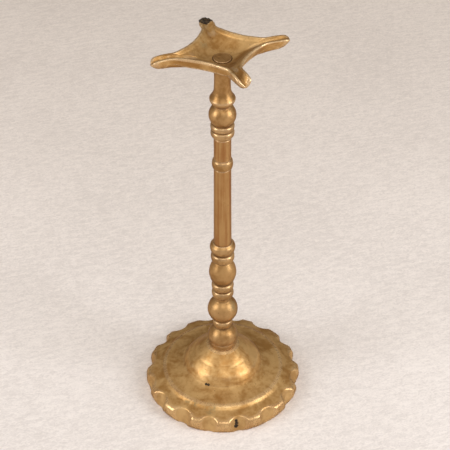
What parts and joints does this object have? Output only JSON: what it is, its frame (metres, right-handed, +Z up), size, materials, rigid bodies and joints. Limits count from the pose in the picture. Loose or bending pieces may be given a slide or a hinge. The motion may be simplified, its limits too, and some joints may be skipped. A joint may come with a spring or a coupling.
{
  "type": "standing oil lamp",
  "caption": "Tall turned brass oil lamp: scalloped domed foot, screwed stem of balls, rings and a plain shaft, and a shallow four-spouted oil dish on top.",
  "frame": {"origin": "centre of the foot's underside, on the surface the lamp stands on", "axes": "+Z up along the stem; +X and -X through two opposite spouts of the dish, +Y and -Y through the other two"},
  "size_m": [0.1526, 0.1526, 0.3938],
  "materials": {
    "foot_brass": "aged cast and turned brass, satin, with dark patina in the hollows",
    "stem_brass": "aged turned brass, satin with handling shine",
    "shaft_brass": "aged drawn brass rod, satin, warmer and redder than the turned pieces",
    "dish_brass": "aged hammered brass, satin, with bright worn rim and soot on the spout ends"
  },
  "bodies": {
    "base": {"foot": "foot_brass"},
    "collar": {"foot_collar": "foot_brass"},
    "stem": {"double_ball_section": "stem_brass", "baluster_section": "stem_brass", "lower_shaft": "shaft_brass", "shaft_ring": "stem_brass", "upper_shaft": "shaft_brass", "upper_knop": "stem_brass"},
    "neck": {"dish_neck": "stem_brass"},
    "dish_top": {"dish": "dish_brass", "dish_rivet": "dish_brass"}
  },
  "joints": [
    {"name": "stem_rise", "type": "slide", "parent": "base", "child": "collar", "axis": [0, 0, 1], "range_m": [0, 0.018]},
    {"name": "stem_turn", "type": "hinge", "parent": "collar", "child": "stem", "pos_m": [0, 0, 0.057], "axis": [0, 0, 1], "range_deg": [0, 2160]},
    {"name": "dish_rise", "type": "slide", "parent": "stem", "child": "neck", "axis": [0, 0, 1], "range_m": [0, 0.0125]},
    {"name": "dish_turn", "type": "hinge", "parent": "neck", "child": "dish_top", "pos_m": [0, 0, 0.3793], "axis": [0, 0, 1], "range_deg": [0, 1800]}
  ],
  "couplings": [
    {"joint": "stem_rise", "follows": "stem_turn", "m_per_rad": 0.00047746},
    {"joint": "dish_rise", "follows": "dish_turn", "m_per_rad": 0.00039789}
  ]
}
